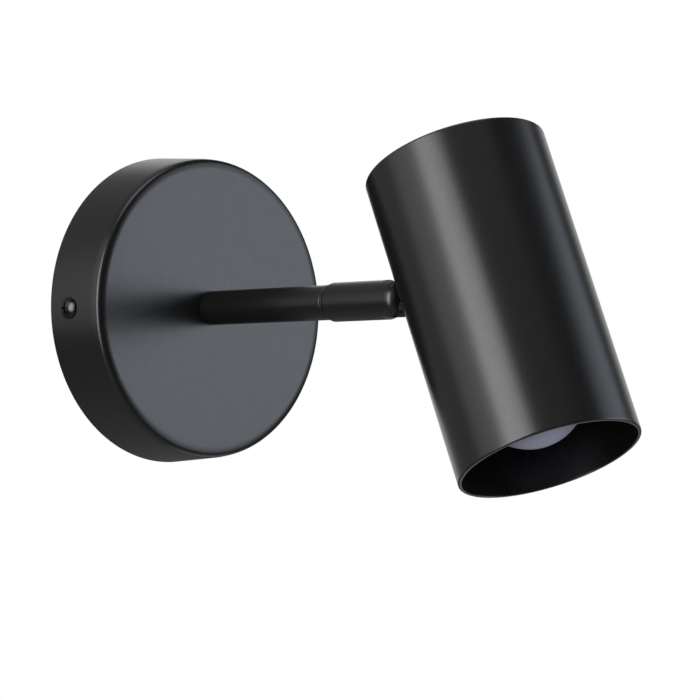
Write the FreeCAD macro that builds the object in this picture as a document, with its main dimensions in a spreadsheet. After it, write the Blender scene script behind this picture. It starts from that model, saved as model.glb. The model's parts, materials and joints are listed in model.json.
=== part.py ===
"""Pivoting spotlight wall light: round canopy, straight arm, fork swivel and tubular head.

Millimetres, +Z up. The wall is the plane y = 0 and the light stands out of it along -Y.
The origin is the centre of the canopy's back edge, on the wall.

Two local frames are used. In the arm frame, z runs outwards from the wall along the arm,
x stays across and y points up. In the head frame, z runs along the spot tube towards its
closed end, y points at the hinge pin, and the origin is where the stem meets the tube's axis.
"""
import FreeCAD, Part

import math
import os

import Sketcher

V = FreeCAD.Vector
doc = FreeCAD.newDocument("pivoting_wall_spot")
sheet = doc.addObject("Spreadsheet::Sheet", "Sizes")
size_names = []
nodes = []
local_places = {}


# ---------------------------------------------------------------- sizes and expressions

class Size:
    """A number read from the sheet, with the expression that binds it there."""

    def __init__(self, value, text):
        self.value = value
        self.text = text

    def joined(self, sign, other, value, swapped=False):
        other_text = other.text if isinstance(other, Size) else str(other)
        left, right = (other_text, self.text) if swapped else (self.text, other_text)
        return Size(value, f"({left} {sign} {right})")

    def __add__(self, other):
        return self.joined("+", other, self.value + number(other))

    __radd__ = __add__

    def __sub__(self, other):
        return self.joined("-", other, self.value - number(other))

    def __rsub__(self, other):
        return self.joined("-", other, number(other) - self.value, swapped=True)

    def __mul__(self, other):
        return self.joined("*", other, self.value * number(other))

    __rmul__ = __mul__

    def __truediv__(self, other):
        return self.joined("/", other, self.value / number(other))

    def __neg__(self):
        return Size(-self.value, f"(-{self.text})")


def number(size):
    return size.value if isinstance(size, Size) else float(size)


def text_of(size):
    return size.text if isinstance(size, Size) else str(size)


def cell(alias, value):
    """Writes one driving dimension into the sheet and returns it as a Size."""
    size_names.append(alias)
    row = len(size_names)
    sheet.set(f"A{row}", alias)
    sheet.set(f"B{row}", str(value))
    sheet.setAlias(f"B{row}", alias)
    sheet.recompute()
    return Size(float(sheet.get(alias)), f"Sizes.{alias}")


def sine(angle):
    return Size(math.sin(math.radians(angle.value)), f"sin({angle.text})")


def cosine(angle):
    return Size(math.cos(math.radians(angle.value)), f"cos({angle.text})")


def root(size):
    return Size(math.sqrt(size.value), f"sqrt({size.text})")


def smaller(first, second):
    return Size(min(number(first), number(second)), f"min({first.text}; {second.text})")


# ---------------------------------------------------------------- shapes

def bind(obj, **sizes):
    for prop, size in sizes.items():
        if isinstance(size, Size):
            obj.setExpression(prop, size.text)
        else:
            setattr(obj, prop, size)


def place_text(at=(0, 0, 0), axis=(0, 0, 1), angle=0):
    move = "; ".join(text_of(value) for value in at)
    spin = "; ".join(str(value) for value in axis)
    return (f"create(<<placement>>; create(<<vector>>; {move}); "
            f"create(<<rotation>>; create(<<vector>>; {spin}); {text_of(angle)}))")


TURNS = {"X": ((0, 1, 0), 90), "Y": ((1, 0, 0), -90), "Z": ((0, 0, 1), 0)}


def primitive(kind, name, at, along, **sizes):
    """A Part primitive whose own z axis is turned along X, Y or Z of its local frame."""
    obj = doc.addObject(kind, name)
    bind(obj, **sizes)
    axis, angle = TURNS[along]
    local_places[obj.Name] = place_text(at, axis, angle)
    obj.setExpression("Placement", local_places[obj.Name])
    return obj


def rod(name, radius, length, at=(0, 0, 0), along="Z"):
    return primitive("Part::Cylinder", name, at, along, Radius=radius, Height=length)


def block(name, size, at):
    """A box given by its size and its lowest corner."""
    return primitive("Part::Box", name, at, "Z", Length=size[0], Width=size[1], Height=size[2])


def centred_block(name, width, depth, height, low):
    return block(name, (width, depth, height), (-width / 2, -depth / 2, low))


def hexagon(name, across_flats, height, at=(0, 0, 0), along="Z"):
    corner_radius = across_flats / math.sqrt(3)
    return primitive("Part::Prism", name, at, along, Polygon=6,
                     Circumradius=corner_radius, Height=height)


def fuse(name, *shapes):
    obj = doc.addObject("Part::MultiFuse", name)
    obj.Shapes = list(shapes)
    return obj


def cut(name, base, *tools):
    obj = doc.addObject("Part::Cut", name)
    obj.Base = base
    obj.Tool = tools[0] if len(tools) == 1 else fuse(f"{name}_tools", *tools)
    return obj


def common(name, first, second):
    obj = doc.addObject("Part::MultiCommon", name)
    obj.Shapes = [first, second]
    return obj


def group(name, *solids):
    obj = doc.addObject("Part::Compound", name)
    obj.Links = list(solids)
    return obj


def ring(name, outer, inner, length, at=(0, 0, 0), along="Z"):
    return cut(name, rod(f"{name}_outer", outer, length, at, along),
               rod(f"{name}_bore", inner, length, at, along))


def turned(name, corners):
    """A body turned about local Z from the (radius, height) corners of its half section."""
    body = doc.addObject("PartDesign::Body", name)
    doc.recompute()
    sketch = body.newObject("Sketcher::SketchObject", f"{name}_section")
    plane = next(item for item in body.Origin.OriginFeatures if item.Role == "XZ_Plane")
    sketch.AttachmentSupport = (plane, [""])
    sketch.MapMode = "FlatFace"
    points = [V(number(radius), number(height), 0) for radius, height in corners]
    for index, point in enumerate(points):
        following = points[(index + 1) % len(points)]
        sketch.addGeometry(Part.LineSegment(point, following), False)
    for index in range(len(points)):
        following = (index + 1) % len(points)
        sketch.addConstraint(Sketcher.Constraint("Coincident", index, 2, following, 1))
    for index, (radius, height) in enumerate(corners):
        fix_corner(sketch, index, "DistanceX", radius, -2)
        fix_corner(sketch, index, "DistanceY", height, -1)
    revolution = body.newObject("PartDesign::Revolution", f"{name}_turn")
    revolution.Profile = sketch
    revolution.ReferenceAxis = (sketch, ["V_Axis"])
    revolution.Angle = 360
    doc.recompute()
    return body


def fix_corner(sketch, index, kind, size, zero_axis):
    """Holds one coordinate of a corner: on the axis if it is plainly zero, else at a distance."""
    if not isinstance(size, Size) and size == 0:
        sketch.addConstraint(Sketcher.Constraint("PointOnObject", index, 1, zero_axis))
        return
    held = sketch.addConstraint(Sketcher.Constraint(kind, -1, 1, index, 1, number(size)))
    if isinstance(size, Size):
        sketch.setExpression(f"Constraints[{held}]", size.text)


def circle_edge(shape, radius, height):
    """Name of the circular edge about local Z with this radius at this height."""
    for index, edge in enumerate(shape.Edges, start=1):
        curve = edge.Curve
        if not hasattr(curve, "Radius") or abs(curve.Radius - number(radius)) > 1e-4:
            continue
        if abs(curve.Center.z - number(height)) < 1e-4:
            return f"Edge{index}"
    raise ValueError(f"no edge of radius {number(radius)} at {number(height)}")


def soften(body, kind, size, radius, height):
    """Rounds or chamfers one circular edge of a turned body."""
    edge = circle_edge(body.Tip.Shape, radius, height)
    tip = body.Tip
    feature = body.newObject(f"PartDesign::{kind}", f"{body.Name}_{kind.lower()}")
    feature.Base = (tip, [edge])
    feature.setExpression("Radius" if kind == "Fillet" else "Size", size.text)
    doc.recompute()


def node(obj, label, seat):
    """Makes an object one named piece of the light, standing in the given seat."""
    obj.Label = label
    local = local_places.get(obj.Name)
    placement = f"{seat.Name}.Placement"
    obj.setExpression("Placement", placement if local is None else f"{placement} * {local}")
    nodes.append(obj)


def seat(name, *places):
    obj = doc.addObject("App::Placement", name)
    obj.setExpression("Placement", " * ".join(places))
    return obj


def lead(name, radius, points):
    """A wire through the points: straight runs joined by tangent arcs, as long as they fit."""
    points = [V(*(number(value) for value in point)) for point in points]
    edges = []
    start = points[0]
    for before, corner, after in zip(points, points[1:], points[2:]):
        back = (before - corner).normalize()
        ahead = (after - corner).normalize()
        reach = 0.45 * min((before - corner).Length, (after - corner).Length)
        enter = corner + back * reach
        leave = corner + ahead * reach
        half_turn = (math.pi - back.getAngle(ahead)) / 2
        arc_radius = reach / math.tan(half_turn)
        centre = corner + (back + ahead).normalize() * (arc_radius / math.cos(half_turn))
        middle = centre + (corner - centre).normalize() * arc_radius
        edges.append(Part.LineSegment(start, enter).toShape())
        edges.append(Part.Arc(enter, middle, leave).toShape())
        start = leave
        print(name, "bend radius", round(arc_radius, 2))
    edges.append(Part.LineSegment(start, points[-1]).toShape())
    path = Part.Wire(edges)
    direction = points[1] - points[0]
    section = Part.Wire(Part.makeCircle(number(radius), points[0], direction))
    obj = doc.addObject("Part::Feature", name)
    obj.Shape = path.makePipeShell([section], True, False)
    true_volume = math.pi * number(radius) ** 2 * path.Length
    print(name, "volume over section times length", round(obj.Shape.Volume / true_volume, 4))
    return obj


# ---------------------------------------------------------------- driving dimensions

# canopy and wall bracket
canopy_radius = cell("canopy_radius", 50)
canopy_taper = cell("canopy_taper", 1.4)
canopy_depth = cell("canopy_depth", 22)
canopy_wall = cell("canopy_wall", 1.2)
canopy_rounding = cell("canopy_rounding", 1.5)
side_screw_height = cell("side_screw_height", 8.2)
bracket_plate = cell("bracket_plate", 1.5)
bracket_width = cell("bracket_width", 22)
bracket_disc_radius = cell("bracket_disc_radius", 28)
tab_width = cell("tab_width", 14)
tab_reach = cell("tab_reach", 17)
tab_clearance = cell("tab_clearance", 0.6)
slot_spacing = cell("slot_spacing", 70)
slot_width = cell("slot_width", 4.5)
slot_length = cell("slot_length", 10)
cable_hole_radius = cell("cable_hole_radius", 7)
screw_radius = cell("screw_radius", 1.5)
screw_head_radius = cell("screw_head_radius", 2.9)
side_screw_head_radius = cell("side_screw_head_radius", 3.5)
screw_head_height = cell("screw_head_height", 1.5)
screw_recess_width = cell("screw_recess_width", 0.7)
screw_recess_length = cell("screw_recess_length", 3.2)
screw_recess_depth = cell("screw_recess_depth", 0.9)
hole_clearance = cell("hole_clearance", 0.15)

# arm and its fixing
arm_radius = cell("arm_radius", 5.55)
arm_bore = cell("arm_bore", 4)
arm_length = cell("arm_length", 55.9)
nipple_bore = cell("nipple_bore", 2.8)
bush_room = cell("bush_room", 2.2)
nipple_in_arm = cell("nipple_in_arm", 12)
washer_plate = cell("washer_plate", 0.8)
washer_radius = cell("washer_radius", 7.5)
locknut_flats = cell("locknut_flats", 13)
locknut_height = cell("locknut_height", 4)
bush_bore = cell("bush_bore", 2.1)
bush_flange_radius = cell("bush_flange_radius", 4.8)
bush_flange = cell("bush_flange", 1.5)
bush_length = cell("bush_length", 6)
collar_radius = cell("collar_radius", 5.4)
collar_length = cell("collar_length", 0.9)
collar_spigot = cell("collar_spigot", 7.6)
friction_ring_inset = cell("friction_ring_inset", 0.9)

# supply terminals
terminal_width = cell("terminal_width", 26)
terminal_depth = cell("terminal_depth", 12)
terminal_height = cell("terminal_height", 12)
terminal_drop = cell("terminal_drop", 12)
terminal_pitch = cell("terminal_pitch", 8)
clamp_rise = cell("clamp_rise", 4.8)
clamp_radius = cell("clamp_radius", 2.4)
clamp_bore = cell("clamp_bore", 1.5)
clamp_screw_radius = cell("clamp_screw_radius", 1.2)
fixing_screw_radius = cell("fixing_screw_radius", 1.2)
fixing_head_radius = cell("fixing_head_radius", 2.2)
fixing_head = cell("fixing_head", 1.4)
fixing_sink = cell("fixing_sink", 3)
earth_screw_place = cell("earth_screw_place", 18)
earth_screw_radius = cell("earth_screw_radius", 2)
earth_head_radius = cell("earth_head_radius", 3.6)
earth_head_height = cell("earth_head_height", 2)
earth_slot_depth = cell("earth_slot_depth", 1)
earth_tag_radius = cell("earth_tag_radius", 4)
earth_tag_plate = cell("earth_tag_plate", 0.8)
wire_radius = cell("wire_radius", 0.65)
wire_spread = cell("wire_spread", 0.75)
earth_wire_place = cell("earth_wire_place", 1.3)
lead_exit = cell("lead_exit", 2)
lead_gather_spread = cell("lead_gather_spread", 4.8)
lead_gather_drop = cell("lead_gather_drop", 2.6)
lead_gather_rise = cell("lead_gather_rise", 0.65)
earth_lead_run = cell("earth_lead_run", 10)
earth_lead_drop = cell("earth_lead_drop", 2.8)
lead_stop_gap = cell("lead_stop_gap", 1.5)

# swivel
running_clearance = cell("running_clearance", 0.05)
seam_gap = cell("seam_gap", 0.7)
swivel_radius = cell("swivel_radius", 6.2)
swivel_length = cell("swivel_length", 31.8)
swivel_rounding = cell("swivel_rounding", 3.6)
swivel_rear_chamfer = cell("swivel_rear_chamfer", 0.3)
stud_radius = cell("stud_radius", 3)
stud_bore = cell("stud_bore", 2.1)
stud_flange_radius = cell("stud_flange_radius", 3.7)
stud_flange = cell("stud_flange", 1.5)
stud_in_swivel = cell("stud_in_swivel", 6.5)
spring_washer_plate = cell("spring_washer_plate", 0.9)
passage_radius = cell("passage_radius", 2.4)
fork_slot_width = cell("fork_slot_width", 6)
fork_slot_depth = cell("fork_slot_depth", 7.3)
pin_setback = cell("pin_setback", 3.7)
pin_radius = cell("pin_radius", 1.3)
pin_recess = cell("pin_recess", 0.3)
pin_end_wall = cell("pin_end_wall", 1.4)
hinge_washer_plate = cell("hinge_washer_plate", 0.5)
hinge_washer_radius = cell("hinge_washer_radius", 3.1)
swivel_turn = cell("swivel_turn", 2.1)
head_tilt = cell("head_tilt", 24.1)

# stem between the fork and the head
stem_out = cell("stem_out", 10.5)
eye_radius = cell("eye_radius", 3.3)
stem_radius = cell("stem_radius", 2.9)
stem_flange_radius = cell("stem_flange_radius", 5)
stem_flange = cell("stem_flange", 1.5)
stem_bore = cell("stem_bore", 1.6)
stem_port_radius = cell("stem_port_radius", 1.2)
stem_inside = cell("stem_inside", 8)
saddle_plate = cell("saddle_plate", 1)
stem_nut_flats = cell("stem_nut_flats", 10)
stem_nut_height = cell("stem_nut_height", 3.5)

# head
tube_radius = cell("tube_radius", 28.5)
tube_wall = cell("tube_wall", 1.2)
tube_up = cell("tube_up", 28.1)
tube_down = cell("tube_down", 72.1)
tube_rounding = cell("tube_rounding", 0.6)
cap_plate = cell("cap_plate", 1.5)
dome_radius = cell("dome_radius", 17.6)
dome_wall = cell("dome_wall", 1)
dome_inset = cell("dome_inset", 5)
board_radius = cell("board_radius", 15)
board_plate = cell("board_plate", 1)
lamp_radius = cell("lamp_radius", 25)
lamp_rim = cell("lamp_rim", 3)
lamp_neck_radius = cell("lamp_neck_radius", 12)
lamp_length = cell("lamp_length", 37.5)
lamp_base_radius = cell("lamp_base_radius", 10)
lamp_base_length = cell("lamp_base_length", 8)
lamp_pin_pitch = cell("lamp_pin_pitch", 10)
lamp_pin_radius = cell("lamp_pin_radius", 1.5)
lamp_pin_head_radius = cell("lamp_pin_head_radius", 2.4)
lamp_pin_length = cell("lamp_pin_length", 7)
lamp_pin_head = cell("lamp_pin_head", 2.5)
holder_radius = cell("holder_radius", 13.5)
holder_length = cell("holder_length", 18)
holder_pocket_radius = cell("holder_pocket_radius", 2.8)
holder_strap_width = cell("holder_strap_width", 12)
holder_strap_plate = cell("holder_strap_plate", 0.8)
holder_screw_spacing = cell("holder_screw_spacing", 9)
holder_screw_length = cell("holder_screw_length", 8)
holder_lead_depth = cell("holder_lead_depth", 3)
holder_lead_level = cell("holder_lead_level", 10.8)
head_lead_drop = cell("head_lead_drop", 3.6)
head_lead_out = cell("head_lead_out", 4.6)
head_lead_fall = cell("head_lead_fall", 5.2)
head_lead_exit = cell("head_lead_exit", 3.3)

# ---------------------------------------------------------------- derived places

canopy_front_radius = canopy_radius - canopy_taper
arm_end = canopy_depth + arm_length
collar_end = arm_end + collar_length
collar_bore = stud_radius + running_clearance
swivel_start = collar_end + seam_gap
swivel_end = swivel_start + swivel_length
pin_place = swivel_end - pin_setback
stem_reach = tube_radius + stem_out
terminal_middle = -terminal_drop - terminal_depth / 2
terminal_top = bracket_plate + terminal_height
clamp_level = bracket_plate + clamp_rise
fixing_place = -terminal_pitch / 2
bush_mouth = clamp_level + bush_room
nipple_start = bush_mouth + bush_flange

# ---------------------------------------------------------------- seats

upright_arm = place_text(axis=(1, 0, 0), angle=90)
swivelled = place_text(axis=(0, 1, 0), angle=swivel_turn)
head_out = pin_place + stem_reach * cosine(head_tilt)
head_lift = stem_reach * sine(head_tilt)
tilted = place_text((0, -head_out, head_lift), (1, 0, 0), -head_tilt)

arm_seat = seat("arm_seat", upright_arm)
swivel_seat = seat("swivel_seat", swivelled, upright_arm)
head_seat = seat("head_seat", swivelled, tilted)


# ---------------------------------------------------------------- canopy and wall bracket

def add_canopy():
    """A drawn steel cup, slightly conical, open to the wall and bored for the arm's nipple."""
    inner_front = canopy_depth - canopy_wall
    hole = arm_bore + hole_clearance
    cup = turned("canopy_cup", [
        (canopy_radius, 0),
        (canopy_front_radius, canopy_depth),
        (hole, canopy_depth),
        (hole, inner_front),
        (canopy_front_radius - canopy_wall, inner_front),
        (canopy_radius - canopy_wall, 0),
    ])
    soften(cup, "Fillet", canopy_rounding, canopy_front_radius, canopy_depth)
    side_holes = rod("canopy_side_holes", screw_radius + hole_clearance, 2 * canopy_radius,
                     (-canopy_radius, 0, side_screw_height), "X")
    node(cut("canopy_drilled", cup, side_holes), "canopy", arm_seat)


tab_outside = canopy_front_radius - canopy_wall - tab_clearance
tab_inside = tab_outside - bracket_plate


def slot_tool(name, middle):
    """A slot along x through the bracket plate, centred on x = middle."""
    straight = slot_length - slot_width
    ends = [rod(f"{name}_end_{side}", slot_width / 2, bracket_plate,
                (middle + side * straight / 2, 0, 0)) for side in (-1, 1)]
    bar = block(f"{name}_bar", (straight, slot_width, bracket_plate),
                (middle - straight / 2, -slot_width / 2, 0))
    return fuse(name, bar, *ends)


def add_wall_bracket():
    """A steel strap with a round middle and two bent tabs, tapped for the canopy's screws."""
    strap = centred_block("bracket_strap", 2 * tab_outside, bracket_width, bracket_plate, 0)
    disc = rod("bracket_disc", bracket_disc_radius, bracket_plate)
    tabs = [block(f"bracket_tab_{side}", (bracket_plate, tab_width, tab_reach),
                  (x_start, -tab_width / 2, 0))
            for side, x_start in (("left", -tab_outside), ("right", tab_inside))]
    plate = fuse("bracket_plate_and_tabs", strap, disc, *tabs)
    holes = [
        rod("bracket_cable_hole", cable_hole_radius, bracket_plate),
        rod("bracket_tapped_holes", screw_radius, 2 * canopy_radius,
            (-canopy_radius, 0, side_screw_height), "X"),
        rod("bracket_earth_hole", earth_screw_radius, bracket_plate, (0, earth_screw_place, 0)),
        rod("bracket_fixing_hole", fixing_screw_radius, bracket_plate,
            (fixing_place, terminal_middle, 0)),
        slot_tool("bracket_slot_left", -slot_spacing / 2),
        slot_tool("bracket_slot_right", slot_spacing / 2),
    ]
    node(cut("bracket_cut", plate, *holes), "wall_bracket", arm_seat)


canopy_slope = (canopy_radius - canopy_front_radius) / canopy_depth
screw_seat = canopy_radius - canopy_slope * (side_screw_height - side_screw_head_radius)


def side_screw(name, side):
    """A pan head screw with a cross recess; side is -1 at the left and 1 at the right."""
    shank_length = screw_seat - tab_inside
    shank_start = tab_inside if side > 0 else -screw_seat
    head_start = screw_seat if side > 0 else -screw_seat - screw_head_height
    dome_reach = side_screw_head_radius * side_screw_head_radius / screw_head_height
    crown_radius = (dome_reach + screw_head_height) / 2
    crown_middle = screw_seat + screw_head_height - crown_radius
    shank = rod(f"{name}_shank", screw_radius, shank_length,
                (shank_start, 0, side_screw_height), "X")
    disc = rod(f"{name}_disc", side_screw_head_radius, screw_head_height,
               (head_start, 0, side_screw_height), "X")
    crown = primitive("Part::Sphere", f"{name}_crown", (side * crown_middle, 0, side_screw_height),
                      "Z", Radius=crown_radius)
    head = common(f"{name}_head", disc, crown)
    recess_start = screw_seat + screw_head_height - screw_recess_depth
    recess_low = recess_start if side > 0 else -recess_start - screw_recess_depth
    bars = []
    for label, across, tall in (("flat", screw_recess_length, screw_recess_width),
                                ("tall", screw_recess_width, screw_recess_length)):
        bars.append(block(f"{name}_recess_{label}", (screw_recess_depth, across, tall),
                          (recess_low, -across / 2, side_screw_height - tall / 2)))
    return cut(name, fuse(f"{name}_blank", shank, head), *bars)


# ---------------------------------------------------------------- arm

def add_arm():
    """The arm tube, the threaded nipple that holds it to the canopy, and its washer and nut."""
    node(ring("arm_tube", arm_radius, arm_bore, arm_length, (0, 0, canopy_depth)),
         "arm_tube", arm_seat)
    nipple_length = canopy_depth - nipple_start + nipple_in_arm
    node(ring("arm_nipple", arm_bore, nipple_bore, nipple_length, (0, 0, nipple_start)),
         "arm_nipple", arm_seat)
    inner_face = canopy_depth - canopy_wall
    node(ring("lock_washer", washer_radius, arm_bore, washer_plate,
              (0, 0, inner_face - washer_plate)), "nipple_lock_washer", arm_seat)
    nut_start = inner_face - washer_plate - locknut_height
    blank = hexagon("locknut_blank", locknut_flats, locknut_height, (0, 0, nut_start))
    bore = rod("locknut_bore", arm_bore, locknut_height, (0, 0, nut_start))
    node(cut("locknut", blank, bore), "nipple_locknut", arm_seat)
    bush = turned("bush_turned", [
        (bush_bore, bush_mouth),
        (bush_flange_radius, bush_mouth),
        (bush_flange_radius, nipple_start),
        (nipple_bore, nipple_start),
        (nipple_bore, nipple_start + bush_length),
        (bush_bore, nipple_start + bush_length),
    ])
    node(bush, "nipple_cable_bush", arm_seat)


def add_arm_collar():
    """The fixed collar pressed into the arm's outer end, in which the swivel stud turns."""
    collar = turned("collar_turned", [
        (collar_bore, arm_end - collar_spigot),
        (arm_bore, arm_end - collar_spigot),
        (arm_bore, arm_end),
        (collar_radius, arm_end),
        (collar_radius, collar_end),
        (collar_bore, collar_end),
    ])
    node(collar, "arm_collar", arm_seat)
    friction_plate = seam_gap - running_clearance
    node(ring("friction_ring", collar_radius - friction_ring_inset, collar_bore, friction_plate,
              (0, 0, collar_end)), "swivel_friction_ring", arm_seat)


# ---------------------------------------------------------------- supply terminals and leads

def add_terminals():
    """A three-way terminal block on the bracket, with its brass clamps and their screws."""
    body = block("terminal_box", (terminal_width, terminal_depth, terminal_height),
                 (-terminal_width / 2, terminal_middle - terminal_depth / 2, bracket_plate))
    clamps = []
    clamp_screws = []
    openings = []
    screw_start = clamp_level + clamp_radius
    for index, place in enumerate((-1, 0, 1)):
        x_place = place * terminal_pitch
        start = (x_place, terminal_middle - terminal_depth / 2, clamp_level)
        openings.append(rod(f"terminal_way_{index}", clamp_radius, terminal_depth, start, "Y"))
        openings.append(rod(f"terminal_screw_way_{index}", clamp_screw_radius,
                            terminal_top - clamp_level, (x_place, terminal_middle, clamp_level)))
        clamp_screws.append(rod(f"clamp_screw_{index}", clamp_screw_radius,
                                terminal_top - screw_start - hole_clearance,
                                (x_place, terminal_middle, screw_start)))
        clamps.append(ring(f"clamp_{index}", clamp_radius, clamp_bore, terminal_depth, start, "Y"))
    openings.append(rod("terminal_sink", fixing_head_radius + hole_clearance, fixing_sink,
                        (fixing_place, terminal_middle, terminal_top - fixing_sink)))
    openings.append(rod("terminal_fixing_way", fixing_screw_radius, terminal_height,
                        (fixing_place, terminal_middle, bracket_plate)))
    node(cut("terminal_cut", body, *openings), "terminal_block", arm_seat)
    node(group("clamps", *clamps), "terminal_clamps", arm_seat)
    node(group("clamp_screws", *clamp_screws), "terminal_clamp_screws", arm_seat)
    shank = rod("fixing_shank", fixing_screw_radius, terminal_top - fixing_sink,
                (fixing_place, terminal_middle, 0))
    head = rod("fixing_head", fixing_head_radius, fixing_head,
               (fixing_place, terminal_middle, terminal_top - fixing_sink))
    node(fuse("fixing_screw", shank, head), "terminal_fixing_screw", arm_seat)


def add_earth_point():
    """The earthing screw on the bracket with its ring tag."""
    tag = ring("earth_tag", earth_tag_radius, earth_screw_radius, earth_tag_plate,
               (0, earth_screw_place, bracket_plate))
    node(tag, "earth_ring_tag", arm_seat)
    head_start = bracket_plate + earth_tag_plate
    shank = rod("earth_shank", earth_screw_radius, head_start, (0, earth_screw_place, 0))
    head = rod("earth_head", earth_head_radius, earth_head_height,
               (0, earth_screw_place, head_start))
    slot = block("earth_slot", (2 * earth_head_radius, screw_recess_width, earth_slot_depth),
                 (-earth_head_radius, earth_screw_place - screw_recess_width / 2,
                  head_start + earth_head_height - earth_slot_depth))
    node(cut("earth_screw_cut", fuse("earth_screw_blank", shank, head), slot),
         "earth_screw", arm_seat)


def add_base_leads():
    """Live and neutral leads from the outer clamps, up through the bush into the arm."""
    lead_end = arm_end - collar_spigot - stud_flange - spring_washer_plate - lead_stop_gap
    for label, side in (("live_lead", -1), ("neutral_lead", 1)):
        block_face = terminal_middle + terminal_depth / 2
        bore_x = side * wire_spread
        route = [
            (side * terminal_pitch, block_face - terminal_depth / 4, clamp_level),
            (side * terminal_pitch, block_face + lead_exit, clamp_level),
            (side * lead_gather_spread, -lead_gather_drop, clamp_level + lead_gather_rise),
            (bore_x, 0, bush_mouth - wire_radius),
            (bore_x, 0, lead_end),
        ]
        node(lead(label, wire_radius, route), label, arm_seat)
    tag_top = bracket_plate + earth_tag_plate + wire_radius
    route = [
        (0, earth_screw_place - earth_tag_radius, tag_top),
        (0, earth_screw_place - earth_lead_run, tag_top + lead_gather_rise),
        (0, earth_wire_place, bush_mouth - earth_lead_drop),
        (0, earth_wire_place, lead_end),
    ]
    node(lead("earth_lead", wire_radius, route), "earth_lead", arm_seat)


# ---------------------------------------------------------------- swivel

def add_swivel_body():
    """A turned swivel with a rounded end and a fork slot open at the top, bottom and end."""
    thread_end = swivel_start + stud_in_swivel
    end_rounding = smaller(swivel_rounding, 0.95 * (swivel_radius - passage_radius))
    barrel = turned("swivel_turned", [
        (stud_radius, swivel_start),
        (swivel_radius, swivel_start),
        (swivel_radius, swivel_end),
        (passage_radius, swivel_end),
        (passage_radius, thread_end),
        (stud_radius, thread_end),
    ])
    soften(barrel, "Chamfer", swivel_rear_chamfer, swivel_radius, swivel_start)
    soften(barrel, "Fillet", end_rounding, swivel_radius, swivel_end)
    slot = centred_block("fork_slot", fork_slot_width, 2 * swivel_radius,
                         fork_slot_depth, swivel_end - fork_slot_depth)
    pin_hole = rod("fork_pin_hole", pin_radius, 2 * swivel_radius - pin_end_wall,
                   (pin_end_wall - swivel_radius, 0, pin_place), "X")
    node(cut("swivel_cut", barrel, slot, pin_hole), "swivel_body", swivel_seat)


def add_swivel_stud():
    """The hollow stud that holds the swivel on the arm, with its spring washer."""
    washer_start = arm_end - collar_spigot - running_clearance - spring_washer_plate
    flange_start = washer_start - stud_flange
    stud = turned("stud_turned", [
        (stud_bore, flange_start),
        (stud_flange_radius, flange_start),
        (stud_flange_radius, washer_start),
        (stud_radius, washer_start),
        (stud_radius, swivel_start + stud_in_swivel),
        (stud_bore, swivel_start + stud_in_swivel),
    ])
    node(stud, "swivel_stud", swivel_seat)
    node(ring("spring_washer", stud_flange_radius, stud_radius, spring_washer_plate,
              (0, 0, washer_start)), "swivel_spring_washer", swivel_seat)


def add_hinge_pin():
    """The cross pin, pressed in from the right cheek, and a friction washer in each cheek."""
    node(rod("hinge_pin", pin_radius, 2 * swivel_radius - pin_end_wall - pin_recess,
             (pin_end_wall - swivel_radius, 0, pin_place), "X"), "hinge_pin", swivel_seat)
    left_start = -fork_slot_width / 2
    right_start = fork_slot_width / 2 - hinge_washer_plate
    washers = [ring(f"hinge_washer_{side}", hinge_washer_radius, pin_radius, hinge_washer_plate,
                    (start, 0, pin_place), "X")
               for side, start in (("left", left_start), ("right", right_start))]
    node(group("hinge_washers", *washers), "hinge_friction_washers", swivel_seat)


# ---------------------------------------------------------------- stem

tube_bore = tube_radius - tube_wall
saddle_top = tube_radius + saddle_plate
stem_inner_end = tube_bore - stem_inside


def add_stem():
    """The head's stem: a flat eye on the hinge pin, a round neck, a flange and a hollow stud."""
    eye_half = fork_slot_width / 2 - hinge_washer_plate - running_clearance
    eye = rod("stem_eye", eye_radius, 2 * eye_half, (-eye_half, stem_reach, 0), "X")
    washer_edge = stem_reach - hinge_washer_radius - hole_clearance
    flat_half = stem_radius - hole_clearance
    flat = block("stem_flat", (2 * eye_half, stem_reach - washer_edge, 2 * flat_half),
                 (-eye_half, washer_edge, -flat_half))
    neck = rod("stem_neck", stem_radius, washer_edge - stem_inner_end, (0, stem_inner_end, 0), "Y")
    flange = rod("stem_flange_disc", stem_flange_radius, stem_flange, (0, saddle_top, 0), "Y")
    blank = fuse("stem_blank", eye, flat, neck, flange)
    pin_bore = rod("stem_pin_bore", pin_radius + running_clearance, 2 * swivel_radius,
                   (-swivel_radius, stem_reach, 0), "X")
    port_middle = saddle_top + stem_flange + 2 * hole_clearance + stem_port_radius
    bore_end = port_middle + stem_port_radius + 2 * hole_clearance
    bore = rod("stem_wire_bore", stem_bore, bore_end - stem_inner_end, (0, stem_inner_end, 0), "Y")
    port = rod("stem_wire_port", stem_port_radius, stem_radius,
               (0, port_middle, -stem_radius), "Z")
    node(cut("stem_cut", blank, pin_bore, bore, port), "hinge_stem", head_seat)


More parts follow.
